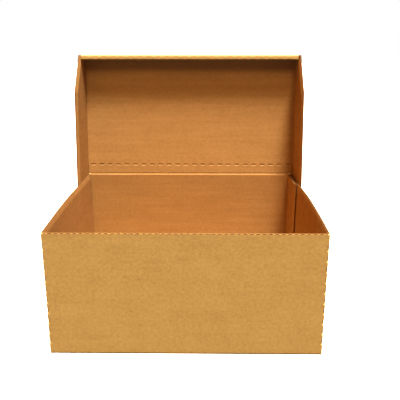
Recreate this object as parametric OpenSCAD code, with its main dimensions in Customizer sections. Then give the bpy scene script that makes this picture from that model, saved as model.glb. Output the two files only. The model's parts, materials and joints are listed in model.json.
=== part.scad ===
// Corrugated mailer box with a hinged hood lid, shown open.
// Millimetres. +Z is up, -Y is the front, and the origin is on the floor, under the middle of the base.

/* [Board] */
// Thickness of the corrugated board
board_t = 3; // [2:0.5:5]
// Outside radius of a fold
fold_r = 2; // [1:0.25:2.5]
// Gap between two layers of board that lie on each other
layer_gap = 0.4; // [0.2:0.1:0.8]
// Thickness of the two liners, the flat papers of the board
liner_t = 0.45; // [0.3:0.05:0.7]
// Length of one wave of the fluted paper between them
flute_pitch = 6.5; // [5:0.5:9]
// Thickness of the fluted paper, measured along the board
flute_web = 0.6; // [0.4:0.1:1]
// How deep the open flutes reach into a raw edge
flute_depth = 5; // [2:0.5:10]

/* [Base] */
// Outside width of the base, left to right
base_w = 300; // [220:5:400]
// Outside depth of the base, front to back
base_d = 165; // [120:5:260]
// Height of the base, floor to rim
base_h = 144; // [80:2:220]
// Width of the glue flap inside the right wall
glue_flap_w = 38; // [25:1:60]
// How far the glue flap ends above the bottom flaps
glue_flap_lift = 6; // [2:1:20]

/* [Bottom flaps] */
// Depth of the tongue on the front flap, past the middle of the base
tongue_reach = 14; // [6:1:25]
// Width of the tongue at its root
tongue_w = 170; // [100:5:200]
// How far the flaps inside the side walls reach towards the middle
side_flap_reach = 92; // [60:2:105]
// Gap along the seams of the bottom flaps
seam_gap = 1.2; // [0.5:0.1:3]

/* [Lid] */
// Height of the lid's front wall, measured from inside its top panel
lid_front_h = 21; // [15:1:30]
// Height of the lid's side walls, measured the same way
lid_side_h = 41; // [32:1:60]
// Length of the slanted front end of a side wall, which comes down to the front wall's height
side_slant_l = 50; // [30:2:80]
// How far the foot of a side wall reaches past the hinge at its fold
foot_drop = 2; // [0:0.5:5]
// How much further the foot reaches at its free edge
foot_slant = 5; // [0:0.5:10]
// Gap between the lid's side walls and the base, each side
side_clear = 0.8; // [0.5:0.1:3]
// Gap between the lid's front wall and the base
front_clear = 1.5; // [1:0.1:4]
// Gap at the hinge, between the lid and the rim of the back wall
hinge_clear = 0.3; // [0.2:0.05:1]
// How far the open lid leans back from upright
lid_lean = 5; // [0:1:30]
// Height of the perforated line above the hinge
perf_line_h = 14; // [8:1:40]

/* [Perforated creases] */
// Distance from one cut to the next
cut_pitch = 12.5; // [10:0.5:20]
// Length of one cut
cut_len = 6.5; // [3:0.5:8]
// Height of the slots in the lid's perforated line
slot_h = 1.2; // [0.6:0.1:2]
// How deep the cuts bite into a square fold
cut_bite = 2.4; // [1:0.1:2.6]
// How deep the cuts bite into the two folds of the rolled front edge
roll_bite = 1.3; // [0.6:0.1:1.5]

/* [Hidden] */
$fn = 32;
eps = 0.01;
over = 1;                                        // how far a cutting solid runs past a face
kraft_brown = [0.78, 0.59, 0.33];
kraft_inner = [0.76, 0.53, 0.31];
wall_x = base_w / 2 - board_t;                   // inner face of a side wall
wall_y = base_d / 2 - board_t;                   // inner face of the front and back walls
floor_top = 2 * board_t;                         // top of the side flaps, two layers up
lid_in_x = base_w / 2 + side_clear;              // inner face of a lid side wall
lid_out_x = lid_in_x + board_t;                  // outer face of a lid side wall
roll_t = 2 * board_t + layer_gap;                // thickness of the rolled front wall
lid_in_l = base_d + hinge_clear + front_clear;   // hinge to the inner face of the front wall
lid_l = lid_in_l + roll_t;                       // hinge to the outer face of the front wall
hinge_y = base_d / 2 + hinge_clear;
hinge_z = base_h + hinge_clear;
tongue_slope = tongue_reach;                     // the tongue's flanks run at 45 degrees
foot_l = foot_drop + foot_slant;                 // how far a side wall's foot reaches in all
flute_tip = 0.3;                                 // width of an open flute where it is narrowest

// Places of the cuts along a crease of the given length, centred on it
function cut_places(crease_l, end_gap) =
    let (count = floor((crease_l - 2 * end_gap - cut_len) / cut_pitch) + 1)
    [for (i = [0 : count - 1]) (i - (count - 1) / 2) * cut_pitch];

// Rectangle with its four corners rounded, centred
module round_plan(w, d, r) {
    square([w - 2 * r, d], center = true);
    square([w, d - 2 * r], center = true);
    for (sx = [-1, 1], sy = [-1, 1])
        translate([sx * (w / 2 - r), sy * (d / 2 - r)]) circle(r);
}

// What rounds an outside edge that lies along X, at y = 0 and z = 0, with the solid behind and above it
module edge_waste(edge_l, r) {
    difference() {
        translate([-edge_l / 2, -over, -over]) cube([edge_l, r + over, r + over]);
        translate([-edge_l / 2 - over, r, r]) rotate([0, 90, 0]) cylinder(r = r, h = edge_l + 2 * over);
    }
}

// Row of cuts along X, each biting into the edge at y = 0 and z = 0
module cut_row(crease_l, bite) {
    for (x = cut_places(crease_l, cut_pitch / 2))
        translate([x - cut_len / 2, -over, -over]) cube([cut_len, bite + over, bite + over]);
}

// Open flutes along a raw edge that lies along X, between y = 0 and y = board_t, in plan
module flute_plan(edge_l) {
    count = floor(edge_l / flute_pitch);
    wide = flute_pitch / 2 - flute_tip / 2 - flute_web;
    far = board_t - liner_t - flute_web / 2;
    for (i = [0 : count - 1]) translate([(i - (count - 1) / 2) * flute_pitch, 0]) {
        polygon([[-wide, liner_t], [wide, liner_t], [flute_tip / 2, far], [-flute_tip / 2, far]]);
        if (i < count - 1) translate([flute_pitch / 2, board_t]) mirror([0, 1])
            polygon([[-wide, liner_t], [wide, liner_t], [flute_tip / 2, far], [-flute_tip / 2, far]]);
    }
}

// Open flutes in the upper rim of a wall of the base, whose outer face lies at y = 0
module rim_flutes(rim_l) {
    translate([0, 0, base_h - flute_depth]) linear_extrude(flute_depth + over) flute_plan(rim_l);
}

// Outline of the walls. At the back right corner the right wall ends in a raw edge, and the back wall
// is folded round inside it
module wall_plan() {
    glued_x = wall_x - layer_gap - fold_r;
    difference() {
        union() {
            round_plan(base_w, base_d, fold_r);
            translate([wall_x, wall_y]) square(board_t);
        }
        square([2 * wall_x, 2 * wall_y], center = true);
        translate([glued_x, base_d / 2 - fold_r]) difference() {
            square([wall_x - glued_x, fold_r + over]);
            circle(fold_r);
        }
    }
}

// Cuts along an upright fold at x = 0 and y = 0, with the solid on its +x and +y sides
module corner_cuts() {
    for (z = cut_places(base_h, cut_pitch / 2))
        translate([-layer_gap, -over, base_h / 2 + z - cut_len / 2])
            cube([cut_bite + layer_gap, cut_bite + over, cut_len]);
}

// The four walls: one strip folded round, with cut and crease folds at its corners
module wall_tube() {
    difference() {
        linear_extrude(base_h) wall_plan();
        for (corner = [[-1, -1], [1, -1], [-1, 1]])
            mirror([corner.x > 0 ? 1 : 0, 0, 0]) mirror([0, corner.y > 0 ? 1 : 0, 0])
                translate([-base_w / 2, -base_d / 2, 0]) corner_cuts();
        rotate([0, 0, 180]) translate([layer_gap - wall_x, -base_d / 2, 0]) corner_cuts();
        for (turn = [0, 180]) rotate([0, 0, turn]) {
            translate([0, -base_d / 2, 0]) edge_waste(base_w + 2 * over, fold_r);
            translate([-base_w / 2 - over, -wall_y, -over])
                cube([board_t + 2 * over, 2 * wall_y, board_t + over]);
            translate([-base_w / 2, 0, board_t]) rotate([0, 0, -90]) edge_waste(2 * wall_y, fold_r);
            translate([0, -base_d / 2, 0]) rim_flutes(2 * (wall_x - fold_r));
            translate([-base_w / 2, 0, 0]) rotate([0, 0, -90]) rim_flutes(2 * wall_y);
        }
    }
}

// Front flap of the bottom, with the tongue that locks it
module front_flap() {
    root = tongue_w / 2;
    tip = root - tongue_slope;
    end_x = base_w / 2 - seam_gap;
    seam = seam_gap / 2;
    linear_extrude(board_t) polygon([
        [-end_x, -wall_y - eps], [end_x, -wall_y - eps], [end_x, -seam], [root, -seam],
        [tip, tongue_reach - seam], [-tip, tongue_reach - seam], [-root, -seam], [-end_x, -seam]]);
}

// Back flap of the bottom, with the notch that takes the tongue
module back_flap() {
    root = tongue_w / 2 + seam_gap;
    tip = root - tongue_slope;
    end_x = base_w / 2 - seam_gap;
    seam = seam_gap / 2;
    linear_extrude(board_t) polygon([
        [-end_x, wall_y + eps], [end_x, wall_y + eps], [end_x, seam], [root, seam],
        [tip, tongue_reach + seam], [-tip, tongue_reach + seam], [-root, seam], [-end_x, seam]]);
}

// Flap folded in from the left wall, on top of the front and back flaps
module side_flap() {
    root_y = wall_y - seam_gap;
    tip_x = -wall_x + side_flap_reach;
    translate([0, 0, board_t]) linear_extrude(board_t) polygon([
        [-wall_x - eps, -root_y], [-wall_x - eps, root_y],
        [tip_x - root_y / 2, root_y], [tip_x, root_y / 2], [tip_x, -root_y / 2], [tip_x - root_y / 2, -root_y]]);
}

// Flap of the back wall, folded round the corner and glued inside the right wall
module glue_flap() {
    low = floor_top + glue_flap_lift;
    slant = glue_flap_w / 4;
    difference() {
        translate([wall_x + eps, wall_y + eps, low]) rotate([0, -90, 0]) linear_extrude(board_t + eps)
            polygon([[0, 0], [base_h - low, 0], [base_h - low, -glue_flap_w], [slant, -glue_flap_w]]);
        translate([wall_x, wall_y - glue_flap_w / 2, 0]) rotate([0, 0, 90]) rim_flutes(glue_flap_w - board_t);
    }
}

module base() {
    color(kraft_brown) {
        wall_tube();
        front_flap();
        back_flap();
        side_flap();
        mirror([1, 0, 0]) side_flap();
        glue_flap();
    }
}

// Outside of the lid's tray: its back fold and both side folds rounded
module tray_outside() {
    tray_h = lid_side_h + board_t;
    intersection() {
        translate([0, (board_t - lid_side_h - fold_r) / 2, -foot_l]) linear_extrude(lid_l + foot_l)
            round_plan(2 * lid_out_x, tray_h + fold_r, fold_r);
        rotate([90, 0, 90]) linear_extrude(2 * lid_out_x, center = true) polygon([
            [board_t, -foot_drop], [0, -foot_drop], [-lid_side_h, -foot_l],
            [-lid_side_h, lid_l - side_slant_l], [-lid_front_h, lid_l], [board_t, lid_l]]);
    }
}

// What is taken out of the tray between its side walls
module tray_hollow() {
    low = -foot_l - over;
    translate([-lid_in_x, -lid_side_h - over, low])
        cube([2 * lid_in_x, lid_side_h + over, lid_l - board_t - low]);
    translate([-lid_in_x, -lid_side_h - over, low])
        cube([2 * lid_in_x, lid_side_h - lid_front_h + over, lid_l + over - low]);
    translate([-lid_in_x, -over, low]) cube([2 * lid_in_x, board_t + 2 * over, -low]);
}

// Second layer of the front wall, rolled over inside the first
module roll_layer() {
    x = lid_in_x - layer_gap;
    translate([-x, -lid_front_h, lid_l - roll_t])
        cube([2 * x, lid_front_h - layer_gap, board_t]);
    translate([-x, -lid_front_h, lid_l - roll_t])
        cube([2 * x, board_t, roll_t - board_t / 2]);
}

// Slots of the perforated line across the top panel
module perf_line() {
    for (x = cut_places(2 * lid_in_x, cut_len / 2))
        translate([x - cut_len / 2, -over, perf_line_h - slot_h / 2])
            cube([cut_len, board_t + 2 * over, slot_h]);
}

// Slit that frees the foot of a side wall from the top panel, up to the perforated line
module foot_slit() {
    translate([lid_in_x - seam_gap, -over, -foot_l - over])
        cube([seam_gap, board_t + 2 * over, perf_line_h + foot_l + over]);
}

// Seam between an end of the front wall and the side wall beside it
module front_seam() {
    translate([lid_in_x - layer_gap, -lid_side_h, lid_in_l - over])
        cube([layer_gap, lid_side_h, roll_t + 2 * over]);
}

// Open flutes in the raw edge of a side wall's foot
module foot_flutes() {
    translate([lid_out_x, -lid_side_h / 2, -foot_l - over]) rotate([0, 0, 90])
        linear_extrude(foot_slant + flute_depth + over) flute_plan(lid_side_h - board_t);
}

// Lid standing upright on its hinge line, with the hood open towards -Y
module lid_upright() {
    roll_l = 2 * (lid_in_x - layer_gap);
    difference() {
        union() {
            difference() {
                tray_outside();
                tray_hollow();
            }
            roll_layer();
        }
        perf_line();
        for (sx = [0, 1]) mirror([sx, 0, 0]) {
            foot_slit();
            front_seam();
            foot_flutes();
        }
        translate([0, board_t, lid_l]) rotate([180, 0, 0]) {
            edge_waste(2 * (lid_out_x + over), fold_r);
            cut_row(2 * lid_out_x, cut_bite);
        }
        translate([0, -lid_front_h, lid_l]) mirror([0, 0, 1]) {
            edge_waste(roll_l, roll_bite);
            cut_row(roll_l, roll_bite);
        }
        translate([0, -lid_front_h, lid_l - roll_t]) {
            edge_waste(roll_l, roll_bite);
            cut_row(roll_l, roll_bite);
        }
    }
}

module lid() {
    color(kraft_inner)
        translate([0, hinge_y, hinge_z]) rotate([-lid_lean, 0, 0]) lid_upright();
}

base();
lid();
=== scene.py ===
import json
import math

import bmesh
import bpy
from mathutils import Matrix, Vector


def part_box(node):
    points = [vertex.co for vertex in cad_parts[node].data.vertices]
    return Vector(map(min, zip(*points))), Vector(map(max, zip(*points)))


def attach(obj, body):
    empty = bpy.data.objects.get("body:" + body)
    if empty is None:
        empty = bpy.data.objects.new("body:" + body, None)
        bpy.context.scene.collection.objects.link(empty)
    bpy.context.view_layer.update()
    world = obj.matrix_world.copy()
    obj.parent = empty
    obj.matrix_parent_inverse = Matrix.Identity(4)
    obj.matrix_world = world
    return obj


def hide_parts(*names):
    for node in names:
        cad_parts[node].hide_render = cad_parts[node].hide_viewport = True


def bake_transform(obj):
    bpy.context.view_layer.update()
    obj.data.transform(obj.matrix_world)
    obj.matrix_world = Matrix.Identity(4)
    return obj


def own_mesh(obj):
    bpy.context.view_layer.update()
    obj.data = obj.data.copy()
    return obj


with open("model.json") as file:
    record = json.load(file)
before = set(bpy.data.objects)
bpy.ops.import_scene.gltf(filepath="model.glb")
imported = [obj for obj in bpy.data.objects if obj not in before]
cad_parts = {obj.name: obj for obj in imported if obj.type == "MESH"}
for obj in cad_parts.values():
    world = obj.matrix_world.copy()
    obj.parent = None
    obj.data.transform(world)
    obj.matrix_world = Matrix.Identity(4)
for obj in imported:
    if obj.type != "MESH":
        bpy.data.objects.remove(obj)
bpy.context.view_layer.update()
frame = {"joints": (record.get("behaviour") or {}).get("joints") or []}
print("mailer box: frame loaded")

mm = 0.001
tiny = 1e-6   # lengths closer than this are the same
steep = 0.7   # a face looks along an axis when its normal reaches this far along it
outside, inside, rawEdge = 0, 1, 2  # material places on every piece of board
hingePlace = Vector(frame["joints"][0]["pos_m"])
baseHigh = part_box("base")[1]
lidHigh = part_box("lid")[1]
sides = ((-1, "left"), (1, "right"))

board = {
    "thickness": 3 * mm,
    "liner": 0.45 * mm,        # the flat paper on either side
    "medium": 0.35 * mm,       # the fluted paper between them
    "flutePitch": 6.5 * mm,
    "flutePoints": 8,          # points drawn along one flute
    "fluteDepth": 0.8 * mm,    # an open flute is crushed shut below this
    "foldRadius": 2 * mm,
    "cutPitch": 12.5 * mm,
    "cutLength": 6.5 * mm,
    "cutBite": 2.4 * mm,       # size of a square fold, tied or cut
    "cutDent": 0.35 * mm,      # how far a cut stands back from the faces beside it
    "pressedReach": 5 * mm,    # an edge cut along the flutes is pressed thin
    "pressedShare": 0.38,      # this much of its thickness is left
    "layerGap": 0.4 * mm,
    "seamGap": 0.5 * mm,
    "slitGap": 0.4 * mm,       # the lid's panel and its side walls where they part
    "creaseGroove": 0.9 * mm,  # groove along the inside of a fold
    "rimRound": 1.3 * mm,      # inner edge of the back rim, rounded by the lid's fold
    "pinchReach": 6 * mm,      # the side walls thin towards their rims
    "pinchShare": 0.72,        # this much of their thickness is left
}
thick = board["thickness"]
fluteSwing = thick / 2 - board["liner"] - board["medium"] / 2
halfWidth, halfDepth, rimHeight = baseHigh.x, baseHigh.y, baseHigh.z


def clamp(value):
    return min(1.0, max(0.0, value))


# Places on the board
def boardFrame(origin, inward, up=(0, 0, 1)):
    # X runs along the board, Y through it from outside to inside, Z along its flutes
    inward, up = Vector(inward), Vector(up)
    turn = Matrix((inward.cross(up), inward, up)).transposed().to_4x4()
    return Matrix.Translation(origin) @ turn


def creaseFrame(origin, along, into):
    # X runs along the crease at its outside corner, and the board lies on the Y and Z sides of it
    along, into = Vector(along), Vector(into)
    turn = Matrix((along, into, along.cross(into))).transposed().to_4x4()
    return Matrix.Translation(origin) @ turn


def placed(bm, place, build, *values):
    known = set(bm.verts)
    build(bm, *values)
    fresh = [v for v in bm.verts if v not in known]
    bmesh.ops.transform(bm, matrix=place, verts=fresh)


# Faces and sheets
def vertsOf(geometry):
    return [g for g in geometry if isinstance(g, bmesh.types.BMVert)]


def facesOf(geometry):
    return [g for g in geometry if isinstance(g, bmesh.types.BMFace)]


def paint(faces, material):
    for face in faces:
        face.material_index = material


def pushOut(bm, corners, way):
    # A flat outline drawn out into a solid
    cap = bm.faces.new([bm.verts.new(c) for c in corners])
    moved = vertsOf(bmesh.ops.extrude_face_region(bm, geom=[cap])["geom"])
    bmesh.ops.translate(bm, verts=moved, vec=way)
    return list({f for v in moved for f in v.link_faces} | {cap})


def drawSheet(bm, columns, rows, pointAt):
    # A thin sheet: pointAt gives the place of each point from its shares of the way across and up
    bmesh.ops.create_grid(bm, x_segments=columns, y_segments=rows, size=0.5)
    for v in bm.verts:
        v.co = pointAt(v.co.x + 0.5, v.co.y + 0.5)


def faceTowards(bm, way):
    bmesh.ops.recalc_face_normals(bm, faces=bm.faces)
    if sum(f.normal.dot(way) for f in bm.faces) < 0:
        bmesh.ops.reverse_faces(bm, faces=bm.faces)


# Parts of a piece of board, in the board's own frame
def paintLiners(faces):
    for face in faces:
        face.normal_update()
        if face.normal.y < -steep:
            face.material_index = outside
        elif face.normal.y > steep:
            face.material_index = inside
        else:
            face.material_index = rawEdge


def addSlab(bm, outline, low=0.0, high=thick):
    faces = pushOut(bm, [(x, low, z) for x, z in outline], (0, high - low, 0))
    bmesh.ops.recalc_face_normals(bm, faces=faces)
    paintLiners(faces)
    return faces


def addBlock(bm, x0, x1, y0, y1, z0, z1):
    addSlab(bm, [(x0, z0), (x1, z0), (x1, z1), (x0, z1)], y0, y1)


def roundEdges(bm, faces, test, radius, segments=5):
    edges = {e for f in faces for e in f.edges if test(*[v.co for v in e.verts])}
    bmesh.ops.bevel(bm, geom=list(edges), offset=radius, offset_type="OFFSET",
                    segments=segments, profile=0.5, affect="EDGES", material=-1)


def addFlutes(bm, start, end, low, high):
    # The fluted paper between the liners: a wave drawn along X and raised along Z
    waves = max(1, round((end - start) / board["flutePitch"]))
    steps = waves * board["flutePoints"]
    chain = []
    for i in range(steps + 1):
        x = start + (end - start) * i / steps
        y = thick / 2 + fluteSwing * math.cos(2 * math.pi * waves * i / steps)
        chain.append(bm.verts.new((x, y, low)))
    edges = [bm.edges.new(pair) for pair in zip(chain, chain[1:])]
    raised = bmesh.ops.extrude_edge_only(bm, edges=edges)["geom"]
    bmesh.ops.translate(bm, vec=(0, 0, high - low), verts=vertsOf(raised))
    ribbon = facesOf(raised)
    bmesh.ops.recalc_face_normals(bm, faces=ribbon)
    thickened = bmesh.ops.solidify(bm, geom=ribbon, thickness=board["medium"])["geom"]
    paint(set(ribbon) | set(facesOf(thickened)), rawEdge)


def addOpenRim(bm, start, end, top):
    # The last stretch of a wall whose raw edge is open: two liners with the flutes between them
    low = top - board["fluteDepth"]
    addBlock(bm, start, end, 0, board["liner"], low, top)
    addBlock(bm, start, end, thick - board["liner"], thick, low, top)
    addFlutes(bm, start, end, low, top)


def pressEdges(bm, edges):
    # The board thins towards its outside face along the given edges
    reach = board["pressedReach"]
    edges = [(Vector(point), Vector(outward).normalized()) for point, outward in edges]
    for point, outward in edges:
        everything = bm.verts[:] + bm.edges[:] + bm.faces[:]
        bmesh.ops.bisect_plane(bm, geom=everything, plane_co=point - outward * reach,
                               plane_no=outward)
    for v in bm.verts:
        near = max(1 + (v.co - point).dot(outward) / reach for point, outward in edges)
        v.co.y *= 1 - (1 - board["pressedShare"]) * clamp(near)


def cutPlaces(length, endGap):
    # Places of the cuts along a crease, measured from its middle
    room = length - 2 * endGap - board["cutLength"]
    count = math.floor(room / board["cutPitch"]) + 1
    return [(i - (count - 1) / 2) * board["cutPitch"] for i in range(count)]


def addCuts(bm, cuts, half, bite):
    # The cut edges of the two walls meet in a flat, a little behind the rounded ties
    dent = board["cutDent"]
    for x in cuts:
        corners = [(x - half, bite, dent), (x - half, bite, bite), (x - half, dent, bite)]
        faces = pushOut(bm, corners, (2 * half, 0, 0))
        bmesh.ops.recalc_face_normals(bm, faces=faces)
        paint(faces, outside)


def addTies(bm, length, bite, radius):
    # The folded paper left between the cuts of a crease, in the crease's own frame
    cuts = cutPlaces(length, board["cutPitch"] / 2)
    half = board["cutLength"] / 2
    addCuts(bm, cuts, half, bite)
    starts = [-length / 2] + [x + half for x in cuts]
    ends = [x - half for x in cuts] + [length / 2]
    for low, high in zip(starts, ends):
        place = Matrix.Translation(((low + high) / 2, bite / 2, bite / 2))
        size = Matrix.Diagonal((high - low, bite, bite, 1))
        verts = bmesh.ops.create_cube(bm, size=1, matrix=place @ size)["verts"]
        faces = {f for v in verts for f in v.link_faces}
        paint(faces, outside)
        roundEdges(bm, faces, lambda a, b: max(a.y, a.z, b.y, b.z) < bite / 2, radius)


# Pieces
def meshFrom(name, bm, materials):
    mesh = bpy.data.meshes.new(name)
    bm.to_mesh(mesh)
    bm.free()
    for material in materials:
        mesh.materials.append(material)
    return mesh


def linked(name, data):
    made = bpy.data.objects.new(name, data)
    bpy.context.scene.collection.objects.link(made)
    return made


def newPiece(name, bm, body, *nodes):
    piece = linked(name, meshFrom(name, bm, boardMaterials))
    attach(piece, body)
    for node in nodes:
        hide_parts(node)
    return piece


def addPaper(piece, thickness, offset):
    # A sheet gets its thickness: offset 0 puts it on both sides, and -1 behind the sheet's face
    shell = piece.modifiers.new("paper", "SOLIDIFY")
    shell.thickness = thickness
    shell.offset = offset
    return shell


def applyModifiers(piece):
    shaped = piece.evaluated_get(bpy.context.evaluated_depsgraph_get())
    mesh = bpy.data.meshes.new_from_object(shaped)
    piece.modifiers.clear()
    piece.data = mesh


# Materials
def makeGroup(name, inputs, outputs):
    group = bpy.data.node_groups.new(name, "ShaderNodeTree")
    for way, sockets in (("INPUT", inputs), ("OUTPUT", outputs)):
        for title, kind in sockets:
            group.interface.new_socket(name=title, in_out=way, socket_type="NodeSocket" + kind)
    return group, group.nodes.new("NodeGroupInput"), group.nodes.new("NodeGroupOutput")


def srgb(red, green, blue):
    def linear(c):
        c /= 255
        return c / 12.92 if c <= 0.04045 else ((c + 0.055) / 1.055) ** 2.4
    return (linear(red), linear(green), linear(blue), 1)


def feed(tree, socket, value):
    # A socket takes what another node gives, or a constant
    if isinstance(value, bpy.types.NodeSocket):
        tree.links.new(value, socket)
    else:
        socket.default_value = value


def mathNode(tree, kind, *values):
    node = tree.nodes.new("ShaderNodeMath")
    node.operation = kind
    for socket, value in zip(node.inputs, values):
        feed(tree, socket, value)
    return node.outputs[0]


def mixColours(tree, share, first, second):
    mix = tree.nodes.new("ShaderNodeMix")
    mix.data_type = "RGBA"
    # A mix node keeps its share in place 0 and its two colours in places 6 and 7
    for place, value in ((0, share), (6, first), (7, second)):
        feed(tree, mix.inputs[place], value)
    return mix.outputs[2]


def noise(tree, vector, scale, detail, roughness, stretch=None):
    if stretch:
        mapping = tree.nodes.new("ShaderNodeMapping")
        mapping.inputs["Scale"].default_value = stretch
        tree.links.new(vector, mapping.inputs["Vector"])
        vector = mapping.outputs["Vector"]
    texture = tree.nodes.new("ShaderNodeTexNoise")
    texture.inputs["Scale"].default_value = scale
    texture.inputs["Detail"].default_value = detail
    texture.inputs["Roughness"].default_value = roughness
    tree.links.new(vector, texture.inputs["Vector"])
    return texture.outputs["Fac"]


# Each noise's scale, detail and roughness, and how it is stretched along the fibres
paperNoises = {
    "cloud": (290, 4, 0.6),
    "patch": (55, 2, 0.5),
    "fibre": (900, 3, 0.6, (0.35, 1, 1)),
    "streak": (160, 3, 0.55, (0.06, 1, 1)),
    "speckle": (420, 1, 0.4),
}
paper = {
    "middle": 0.5,              # noise and tone lie around this
    "cloudShare": 0.6, "patchShare": 0.2, "fibreShare": 0.2,  # of the clumps
    "speckStart": 0.735,        # specks show where their noise passes this
    "speckSlope": 14,
    "reliefShare": 0.5,         # fibres and clouds have the same share in the relief
    "reliefHeight": 0.4 * mm,
    "roughnessSwing": 0.2,      # light fibres are this much smoother than dark ones
}


def kraftFibreGroup():
    # Mottled paper fibre: cloudy clumps, short fibres and a few dark specks
    group, start, end = makeGroup(
        "kraft fibre",
        [("Vector", "Vector"), ("Clump", "Float"), ("Streak", "Float"), ("Speck", "Float")],
        [("Tone", "Float"), ("Specks", "Float"), ("Relief", "Float")])
    given = start.outputs
    waves = {name: noise(group, given["Vector"], *values) for name, values in paperNoises.items()}

    clump = mathNode(group, "MULTIPLY_ADD", waves["cloud"], paper["cloudShare"],
                     mathNode(group, "MULTIPLY", waves["patch"], paper["patchShare"]))
    clump = mathNode(group, "MULTIPLY_ADD", waves["fibre"], paper["fibreShare"], clump)
    clump = mathNode(group, "SUBTRACT", clump, paper["middle"])
    clump = mathNode(group, "MULTIPLY", clump, given["Clump"])
    streak = mathNode(group, "SUBTRACT", waves["streak"], paper["middle"])
    streak = mathNode(group, "MULTIPLY", streak, given["Streak"])
    tone = mathNode(group, "ADD", clump, streak)
    tone = mathNode(group, "ADD", tone, paper["middle"])
    group.links.new(tone, end.inputs["Tone"])

    specks = mathNode(group, "SUBTRACT", waves["speckle"], paper["speckStart"])
    specks = mathNode(group, "MULTIPLY", specks, paper["speckSlope"])
    specks.node.use_clamp = True
    specks = mathNode(group, "MULTIPLY", specks, given["Speck"])
    group.links.new(specks, end.inputs["Specks"])

    relief = mathNode(group, "MULTIPLY", waves["cloud"], paper["reliefShare"])
    relief = mathNode(group, "MULTIPLY_ADD", waves["fibre"], paper["reliefShare"], relief)
    group.links.new(relief, end.inputs["Relief"])
    return group


def kraftMaterial(name, look):
    material = bpy.data.materials.new(name)
    material.use_nodes = True
    tree = material.node_tree
    shader = tree.nodes["Principled BSDF"]
    shader.inputs["Specular IOR Level"].default_value = look["shine"]
    place = tree.nodes.new("ShaderNodeTexCoord")
    fibre = tree.nodes.new("ShaderNodeGroup")
    fibre.node_tree = fibreGroup
    tree.links.new(place.outputs["Object"], fibre.inputs["Vector"])
    for title in ("Clump", "Streak", "Speck"):
        fibre.inputs[title].default_value = look[title.lower()]
    tones = mixColours(tree, fibre.outputs["Tone"], look["dark"], look["light"])
    specked = mixColours(tree, fibre.outputs["Specks"], tones, look["speckColour"])
    tree.links.new(specked, shader.inputs["Base Color"])
    swing = paper["roughnessSwing"]
    dull = mathNode(tree, "MULTIPLY_ADD", fibre.outputs["Tone"], -swing,
                    look["roughness"] + swing / 2)
    tree.links.new(dull, shader.inputs["Roughness"])
    bump = tree.nodes.new("ShaderNodeBump")
    bump.inputs["Strength"].default_value = look["bump"]
    bump.inputs["Distance"].default_value = paper["reliefHeight"]
    tree.links.new(fibre.outputs["Relief"], bump.inputs["Height"])
    tree.links.new(bump.outputs["Normal"], shader.inputs["Normal"])
    return material


fibreGroup = kraftFibreGroup()
outsideLook = {
    "dark": srgb(167, 140, 88), "light": srgb(212, 188, 133), "speckColour": srgb(112, 80, 46),
    "clump": 1.2, "streak": 0.18, "speck": 0.35, "roughness": 0.8, "shine": 0.25, "bump": 0.25,
}
insideLook = {
    "dark": srgb(158, 124, 77), "light": srgb(195, 162, 115), "speckColour": srgb(116, 80, 46),
    "clump": 1.0, "streak": 0.45, "speck": 0.3, "roughness": 0.85, "shine": 0.2, "bump": 0.2,
}
rawEdgeLook = {
    "dark": srgb(112, 82, 49), "light": srgb(142, 111, 74), "speckColour": srgb(100, 68, 38),
    "clump": 1.0, "streak": 0.2, "speck": 0.4, "roughness": 0.9, "shine": 0.1, "bump": 0.3,
}
boardMaterials = [
    kraftMaterial("kraft outside", outsideLook),
    kraftMaterial("kraft inside", insideLook),
    kraftMaterial("kraft raw edge", rawEdgeLook),
]
print("mailer box: kraft paper ready")


# Base: front and back walls, with the upright folds at their ends
gluedX = halfWidth - thick - board["layerGap"]  # outside of the fold into the glue flap


def addWallSlab(bm, start, end, top):
    # Its lower outer edge is the fold into the bottom
    faces = addSlab(bm, [(start, 0), (end, 0), (end, top), (start, top)])
    roundEdges(bm, faces, lambda a, b: max(a.y, a.z, b.y, b.z) < tiny, board["foldRadius"])


def addFrontWall(bm, start, end):
    addWallSlab(bm, start, end, rimHeight - board["fluteDepth"])
    addOpenRim(bm, start, end, rimHeight)


def addBackWall(bm, start, end):
    # Its rim carries the lid's fold, so it is pressed smooth
    addWallSlab(bm, start, end, rimHeight)
    roundEdges(bm, bm.faces, lambda a, b: min(a.y, b.y) > thick - tiny
               and min(a.z, b.z) > rimHeight - tiny, board["rimRound"])


def makeWall(name, side, corners, addWall):
    # Each corner is the X of an upright fold, and the way from it along one of its two walls
    bm = bmesh.new()
    ends = sorted(-side * x - math.copysign(board["cutBite"], -side * x) for x, into in corners)
    placed(bm, boardFrame((0, side * halfDepth, 0), (0, -side, 0)), addWall, *ends)
    for x, into in corners:
        place = creaseFrame((x, side * halfDepth, rimHeight / 2), (0, 0, 1), into)
        placed(bm, place, addTies, rimHeight, board["cutBite"], board["foldRadius"])
    newPiece(name, bm, "base", "base")


makeWall("front_wall", -1, [(-halfWidth, (1, 0, 0)), (halfWidth, (0, 1, 0))], addFrontWall)
makeWall("back_wall", 1, [(-halfWidth, (0, -1, 0)), (gluedX, (-1, 0, 0))], addBackWall)

# Base: the side walls bow outwards at the rim
bow = {
    "left": 2.4 * mm,
    "right": 2.8 * mm,
    "foot": 8 * mm,       # the board below this height is straight and solid
    "risePower": 1.5,     # how the bow grows from there up to the rim
    "backPower": 3.5,     # it is flatter towards the back, clear of the lid's feet
    "keep": 0.25,         # what is left of it under the closed lid
    "columns": 40,
    "rows": 24,
}


def sideEnds(side):
    # A side wall begins behind the front fold; at the back the right one ends in a raw edge
    front = board["cutBite"] - halfDepth
    return front, halfDepth if side > 0 else -front


def bowAt(amount, y, z):
    across = math.sin(math.pi * (y + halfDepth) / (2 * halfDepth))
    if y > 0:
        across = across ** bow["backPower"]
    rise = clamp((z - bow["foot"]) / (rimHeight - bow["foot"]))
    return amount * across * rise ** bow["risePower"]


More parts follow.
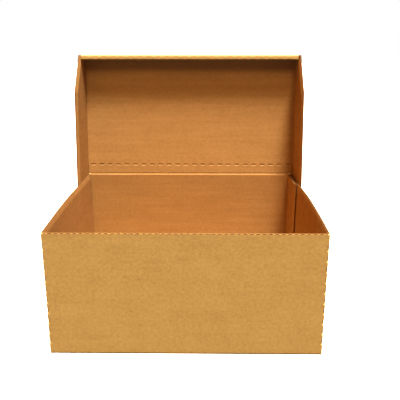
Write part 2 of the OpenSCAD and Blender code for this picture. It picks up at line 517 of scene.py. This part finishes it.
def sideWallX(side, amount, depth, y, z):
    near = clamp(1 - (rimHeight - z) / board["pinchReach"])
    depth *= 1 - (1 - board["pinchShare"]) * near
    return side * (halfWidth - depth + bowAt(amount, y, z))


def sideWallPiece(name, bm, depth, thickness, offset):
    # A piece of the side wall, given its paper's thickness
    piece = newPiece(name, bm, "base", "base")
    shell = addPaper(piece, thickness, offset)
    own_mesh(piece)
    return shell


def makeFluteFloor(name, side, amount):
    # This closes the flutes of a side wall a little below its rim
    front, back = sideEnds(side)
    z = rimHeight - board["fluteDepth"]

    def pointAt(across, up):
        y = front + (back - front) * across
        depth = board["liner"] / 2 + up * (thick - board["liner"])
        return (sideWallX(side, amount, depth, y, z), y, z)

    bm = bmesh.new()
    drawSheet(bm, bow["columns"], 1, pointAt)
    paint(bm.faces, rawEdge)
    sideWallPiece(name, bm, thick / 2, board["medium"], -1)


def makeBowedSheet(name, side, amount, depth, swing, columns, layer, thickness):
    # Depth is measured from the wall's outside; the fluted paper swings about it
    front, back = sideEnds(side)
    if layer == inside:
        front = board["creaseGroove"] + thick - halfDepth
        back = -front if side < 0 else back

    def pointAt(across, up):
        y = front + (back - front) * across
        z = bow["foot"] + up * (rimHeight - bow["foot"])
        ripple = swing * math.cos(2 * math.pi * y / board["flutePitch"])
        return (sideWallX(side, amount, depth + ripple, y, z), y, z)

    bm = bmesh.new()
    drawSheet(bm, columns, bow["rows"], pointAt)
    faceTowards(bm, Vector((side, 0, 0)))
    paint(bm.faces, layer)
    shell = sideWallPiece(name, bm, depth, thickness, 0)
    shell.material_offset_rim = rawEdge - layer


for side, label in sides:
    amount, wall = bow[label], label + "_wall_"
    liner, medium = board["liner"], board["medium"]
    waves = round(2 * (halfDepth - board["cutBite"]) / board["flutePitch"])
    makeFluteFloor(wall + "flute_floor", side, amount)
    for name, depth, swing, columns, layer, thickness in (
            ("outer_liner", liner / 2, 0, bow["columns"], outside, liner),
            ("inner_liner", thick - liner / 2, 0, bow["columns"], inside, liner),
            ("flutes", thick / 2, fluteSwing, waves * board["flutePoints"], rawEdge, medium)):
        makeBowedSheet(wall + name, side, amount, depth, swing, columns, layer, thickness)

# Base: the four bottom flaps, locked by the tongue of the front one
flaps = {"tongueReach": 14 * mm, "tongueWidth": 170 * mm, "sideReach": 92 * mm}


def addTongueFlap(bm, way, gap):
    # The front flap has the tongue (way 1), and the back flap the notch that takes it (way -1)
    end = halfWidth - board["seamGap"]
    wall = halfDepth - thick
    root = flaps["tongueWidth"] / 2 + gap
    tip = root - flaps["tongueReach"]
    seam = board["seamGap"] / 2
    tongue = way * flaps["tongueReach"] - seam
    addSlab(bm, [(-end, wall), (-end, seam), (-root, seam), (-tip, -tongue),
                 (tip, -tongue), (root, seam), (end, seam), (end, wall)])


def addSideFlap(bm):
    root = halfDepth - thick - board["seamGap"]
    wall = halfWidth - thick
    tip = wall - flaps["sideReach"]
    cut = root / 2  # its free corners are cut off
    addSlab(bm, [(-root, wall), (-root, tip + cut), (cut - root, tip),
                 (root - cut, tip), (root, tip + cut), (root, wall)])


def addSideFold(bm, side):
    # The foot of a side wall, with the fold into the bottom
    front, back = sideEnds(side)
    faces = addSlab(bm, [(front, thick), (back, thick), (back, bow["foot"]), (front, bow["foot"])])
    roundEdges(bm, faces, lambda a, b: max(a.y, b.y) < tiny and max(a.z, b.z) < thick + tiny,
               board["foldRadius"])


bm = bmesh.new()
placed(bm, boardFrame((0, 0, 0), (0, 0, 1), (0, -1, 0)), addTongueFlap, 1, 0.0)
placed(bm, boardFrame((0, 0, 0), (0, 0, 1), (0, 1, 0)), addTongueFlap, -1, board["seamGap"])
for side in (-1, 1):
    placed(bm, boardFrame((0, 0, thick), (0, 0, 1), (side, 0, 0)), addSideFlap)
    placed(bm, boardFrame((side * halfWidth, 0, 0), (-side, 0, 0)), addSideFold, side)
newPiece("bottom_flaps", bm, "base", "base")

# Base: the glue flap, folded from the back wall and glued inside the right one
glueFlap = {"width": 38 * mm, "lift": 6 * mm, "slant": 9.5 * mm}


def addGlueFlap(bm):
    wallIn = halfDepth - thick
    low = 2 * thick + glueFlap["lift"]
    free = wallIn - glueFlap["width"]
    top = rimHeight - board["fluteDepth"]
    addSlab(bm, [(free, top), (free, low + glueFlap["slant"]), (wallIn, low), (wallIn, top)])
    addOpenRim(bm, free, wallIn, rimHeight)
    pressEdges(bm, [((free, 0, 0), (-1, 0, 0))])


bm = bmesh.new()
placed(bm, boardFrame((halfWidth - thick, 0, 0), (-1, 0, 0)), addGlueFlap)
newPiece("glue_flap", bm, "base", "base")
print("mailer box: base folded")

# Lid, made upright with its hood towards -Y and then leaned back about the hinge
lid = {
    "lean": math.radians(5),
    "frontHeight": 21 * mm,
    "sideHeight": 41 * mm,
    "sideSlant": 50 * mm,
    "footDrop": 2 * mm,        # the side walls reach this far past the hinge
    "footSlant": 5 * mm,       # and this much further at their free edges
    "frontClear": 1.5 * mm,    # between the closed lid and the front wall
    "perforation": 14 * mm,    # height of the perforated line above the hinge
    "slotHeight": 0.6 * mm,
    "bankHeight": 2.2 * mm,    # the pressed bank under each slot
    "bankDepth": 0.9 * mm,
    "slotClear": 0.2 * mm,     # the slots' cutter starts this far in front of the panel
    "slotPast": 1 * mm,        # and runs on this far behind it
    "rollBite": 1.6 * mm,      # size of the two folds of the rolled edge
}
outX = lidHigh.x
inX = outX - thick
rollHalf = inX - board["layerGap"]
rollThick = 2 * thick + board["layerGap"]
lidLength = halfDepth + hingePlace.y + lid["frontClear"] + rollThick
leaned = Matrix.Translation(hingePlace) @ Matrix.Rotation(-lid["lean"], 4, "X")


def addLidPanel(bm):
    top = lidLength - board["cutBite"]
    foot = inX - board["slitGap"]
    line = lid["perforation"]
    faces = addSlab(bm, [(-foot, 0), (foot, 0), (foot, line), (outX, line), (outX, top),
                         (-outX, top), (-outX, line), (-foot, line)])
    roundEdges(bm, faces, lambda a, b: max(a.y, b.y) < tiny and min(abs(a.x), abs(b.x)) > inX
               and abs(a.x - b.x) < tiny, board["foldRadius"])
    roundEdges(bm, bm.faces, lambda a, b: min(a.y, b.y) > thick - tiny and max(a.z, b.z) < tiny,
               board["creaseGroove"], segments=1)


def slotCutter():
    # Slots through the perforated line, each with a pressed bank below it
    bm = bmesh.new()
    half, past, clear = board["cutLength"] / 2, thick + lid["slotPast"], lid["slotClear"]
    low = lid["perforation"] - lid["slotHeight"] / 2
    high = low + lid["slotHeight"]
    foot = low - lid["bankHeight"] * (1 + clear / lid["bankDepth"])
    profile = [(foot, -clear), (low, lid["bankDepth"]), (low, past), (high, past), (high, -clear)]
    for x in cutPlaces(2 * inX, half):
        pushOut(bm, [(x - half, y, z) for z, y in profile], (2 * half, 0, 0))
    bmesh.ops.recalc_face_normals(bm, faces=bm.faces)
    for face in bm.faces:
        bank = abs(face.normal.x) < steep and face.calc_center_median().z < low
        face.material_index = inside if bank else rawEdge
    bmesh.ops.transform(bm, matrix=leaned, verts=bm.verts)
    return linked("slots", meshFrom("slots", bm, boardMaterials))


bm = bmesh.new()
placed(bm, leaned @ boardFrame((0, thick, 0), (0, -1, 0)), addLidPanel)
panel = newPiece("lid_panel", bm, "lid", "lid")
cutter = slotCutter()
cut = panel.modifiers.new("slots", "BOOLEAN")
cut.object = cutter
cut.solver = "EXACT"
bpy.context.view_layer.update()
applyModifiers(panel)
bpy.data.objects.remove(cutter)


def addLidSide(bm, way):
    # X runs from the panel's inner face towards the free edge where way is 1
    high, front, bite = lid["sideHeight"], lid["frontHeight"], board["cutBite"]
    line = lid["perforation"]
    foot = board["fluteDepth"] - lid["footDrop"]
    outline = [(-thick, foot), (0, foot), (high, foot - lid["footSlant"]),
               (high, lidLength - lid["sideSlant"]), (front, lidLength), (bite - thick, lidLength),
               (bite - thick, lidLength - bite), (0, lidLength - bite), (0, line), (-thick, line)]
    faces = addSlab(bm, [(way * x, z) for x, z in outline])
    roundEdges(bm, faces, lambda a, b: max(a.y, b.y) < tiny and max(a.z, b.z) < line + tiny
               and min(-way * a.x, -way * b.x) > thick - tiny, board["foldRadius"])
    roundEdges(bm, bm.faces, lambda a, b: min(a.y, b.y) > thick - tiny
               and max(abs(a.x), abs(b.x)) < tiny and min(a.z, b.z) > line - tiny,
               board["creaseGroove"], segments=1)


def addFoot(bm, way):
    # The raw lower end of a side wall, slanted with it
    high = lid["sideHeight"]
    known = set(bm.verts)
    addOpenRim(bm, *sorted((-way * thick, way * high)), board["fluteDepth"])
    for v in bm.verts:
        if v not in known:
            v.co.z -= lid["footDrop"] + lid["footSlant"] * max(0.0, way * v.co.x) / high


def addLidSideWall(bm, way):
    addLidSide(bm, way)
    addFoot(bm, way)
    high, front = lid["sideHeight"], lid["frontHeight"]
    pressEdges(bm, [((way * high, 0, 0), (way, 0, 0)),
                    ((way * front, 0, lidLength), (way * lid["sideSlant"], 0, high - front))])


for side, label in sides:
    bm = bmesh.new()
    place = leaned @ boardFrame((side * outX, 0, 0), (-side, 0, 0))
    placed(bm, place, addLidSideWall, -side)
    newPiece("lid_" + label + "_side", bm, "lid", "lid")


def addRolledWall(bm):
    # Outer layer, rolled edge and inner layer, drawn from the side and run across the lid
    top, low, high = lidLength, lidLength - rollThick, lid["frontHeight"]
    bite, slit, gap = lid["rollBite"], lidLength - thick, board["layerGap"]
    root = board["cutBite"] - thick
    faces = addSlab(bm, [
        (root, top), (high - bite, top), (high - bite, top - bite), (high, top - bite),
        (high, low + bite), (high - bite, low + bite), (high - bite, low), (gap, low),
        (gap, low + thick), (high - thick, low + thick), (high - thick, slit), (root, slit),
    ], -rollHalf, rollHalf)
    for face in faces:
        face.material_index = rawEdge if abs(face.normal.y) > steep else outside


bm = bmesh.new()
frontEdge = -lid["frontHeight"]
placed(bm, boardFrame((0, 0, 0), (1, 0, 0)), addRolledWall)
for origin, into, length, bite, radius in (
        ((0, thick, lidLength), (0, -1, 0), 2 * outX, board["cutBite"], board["foldRadius"]),
        ((0, frontEdge, lidLength), (0, 0, -1), 2 * rollHalf, lid["rollBite"], lid["rollBite"]),
        ((0, frontEdge, lidLength - rollThick), (0, 1, 0), 2 * rollHalf, lid["rollBite"],
         lid["rollBite"])):
    placed(bm, creaseFrame(origin, (1, 0, 0), into), addTies, length, bite, radius)
bmesh.ops.transform(bm, matrix=leaned, verts=bm.verts)
newPiece("lid_front_wall", bm, "lid", "lid")
print("mailer box: lid folded")

# Hinge: the outer paper runs on from the back wall to the lid
strip = {
    "low": 139 * mm,
    "high": 151 * mm,
    "columns": 24,
    "rows": 16,
    "proud": 0.15 * mm,    # how far it stands out from the board
    "sink": 0.5 * mm,      # how far its two ends go down into the board
    "sinkPower": 6,
    "endGap": 0.6 * mm,    # it ends this far inside the back wall's ends
    "lidGap": 0.1 * mm,    # and above the rim this far inside the lid's side walls
    "stepFrom": 0.25, "stepSpan": 0.5,     # shares of its height where it steps over to the lid
    "widenFrom": 0.22, "widenSpan": 0.12,  # shares of its height where it widens
}
outerLid = leaned @ Vector((0, thick, strip["high"] - hingePlace.z))


def stripPoint(across, up):
    step = clamp((up - strip["stepFrom"]) / strip["stepSpan"])
    step = step * step * (3 - 2 * step)
    sunk = strip["sink"] * abs(2 * up - 1) ** strip["sinkPower"]
    wallEnd, lidEnd = halfWidth - strip["endGap"], inX - strip["lidGap"]
    widen = clamp((up - strip["widenFrom"]) / strip["widenSpan"])
    end = wallEnd + widen * (lidEnd - wallEnd)
    return ((2 * across - 1) * end,
            halfDepth + step * (outerLid.y - halfDepth) + strip["proud"] - sunk,
            strip["low"] + up * (strip["high"] - strip["low"]))


bm = bmesh.new()
drawSheet(bm, strip["columns"], strip["rows"], stripPoint)
faceTowards(bm, Vector((0, 1, 0)))
strap = linked("hinge_liner", meshFrom("hinge_liner", bm, [boardMaterials[outside]]))
addPaper(strap, board["liner"], -1)
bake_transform(strap)
print("mailer box: hinge joined")

# Studio: white floor and surround, high soft lights from the front right, and the camera
studio = {
    "floorSize": 8.0,
    "floorSeen": (0.9, 0.9, 0.9, 1),      # what the camera sees of the floor
    "floorBounce": (0.1, 0.1, 0.1, 1),    # what the floor throws back on the box
    "floorRoughness": 0.9,
    "worldSeen": (1, 1, 1, 1),
    "worldFill": (0.2, 0.085, 0.015, 1),  # a warm fill in the shadows
    "contrast": 1.4,
}
white, cream, warm = (1, 1, 1), (1, 0.82, 0.5), (1, 0.42, 0.06)
# Each light's compass angle from the front, height, spread, strength and colour
lights = {
    "high light": (50, 76, 14, 4.4, white),
    "key light": (30, 74, 12, 4.5, white),
    "front light": (5, 46, 24, 1.25, cream),
    "warm left light": (-70, 38, 60, 1.2, warm),
    "warm right light": (70, 38, 60, 0.4, warm),
    "left light": (-125, 25, 30, 2.2, white),
    "back light": (175, 35, 40, 1.9, white),
}
camera = {
    "place": (18.0 * mm, -420.4 * mm, 347.2 * mm), "pitchDown": 10.42, "turn": 0.41,
    "focalPixels": 358.3, "picturePixels": 400, "shiftY": -0.25,
    "sensorWidth": 36, "nearest": 10 * mm,
}


def distantLight(name, compass, height, spread, strength, colour):
    light = bpy.data.lights.new(name, "SUN")
    light.color = colour
    light.angle = math.radians(spread)
    light.energy = strength
    turn, rise = math.radians(compass), math.radians(height)
    flat = math.cos(rise)
    way = Vector((math.sin(turn) * flat, -math.cos(turn) * flat, math.sin(rise)))
    linked(name, light).rotation_euler = way.to_track_quat("Z", "Y").to_euler()


def cameraMix(tree, unseen, seen):
    # One colour for the camera and another for the light that reaches the box
    path = tree.nodes.new("ShaderNodeLightPath")
    return mixColours(tree, path.outputs["Is Camera Ray"], unseen, seen)


for name, values in lights.items():
    distantLight(name, *values)
bpy.context.scene.view_settings.view_transform = "Standard"
bpy.context.scene.view_settings.gamma = 1 / studio["contrast"]

floorPaint = bpy.data.materials.new("pale floor")
floorPaint.use_nodes = True
tree = floorPaint.node_tree
matt = tree.nodes["Principled BSDF"]
matt.inputs["Roughness"].default_value = studio["floorRoughness"]
tree.links.new(cameraMix(tree, studio["floorBounce"], studio["floorSeen"]),
               matt.inputs["Base Color"])
bm = bmesh.new()
bmesh.ops.create_grid(bm, x_segments=1, y_segments=1, size=studio["floorSize"] / 2)
floor = linked("studio_floor", meshFrom("studio_floor", bm, [floorPaint]))

world = bpy.data.worlds.new("studio")
world.use_nodes = True
tree = world.node_tree
tree.links.new(cameraMix(tree, studio["worldFill"], studio["worldSeen"]),
               tree.nodes["Background"].inputs["Color"])
bpy.context.scene.world = world

lens = bpy.data.cameras.new("camera")
lens.sensor_width = camera["sensorWidth"]
lens.lens = camera["focalPixels"] / camera["picturePixels"] * lens.sensor_width
lens.shift_y = camera["shiftY"]
lens.clip_start = camera["nearest"]
eye = linked("camera", lens)
eye.location = camera["place"]
eye.rotation_euler = (math.radians(90 - camera["pitchDown"]), 0, math.radians(camera["turn"]))
bpy.context.scene.camera = eye
print("mailer box: studio lit")
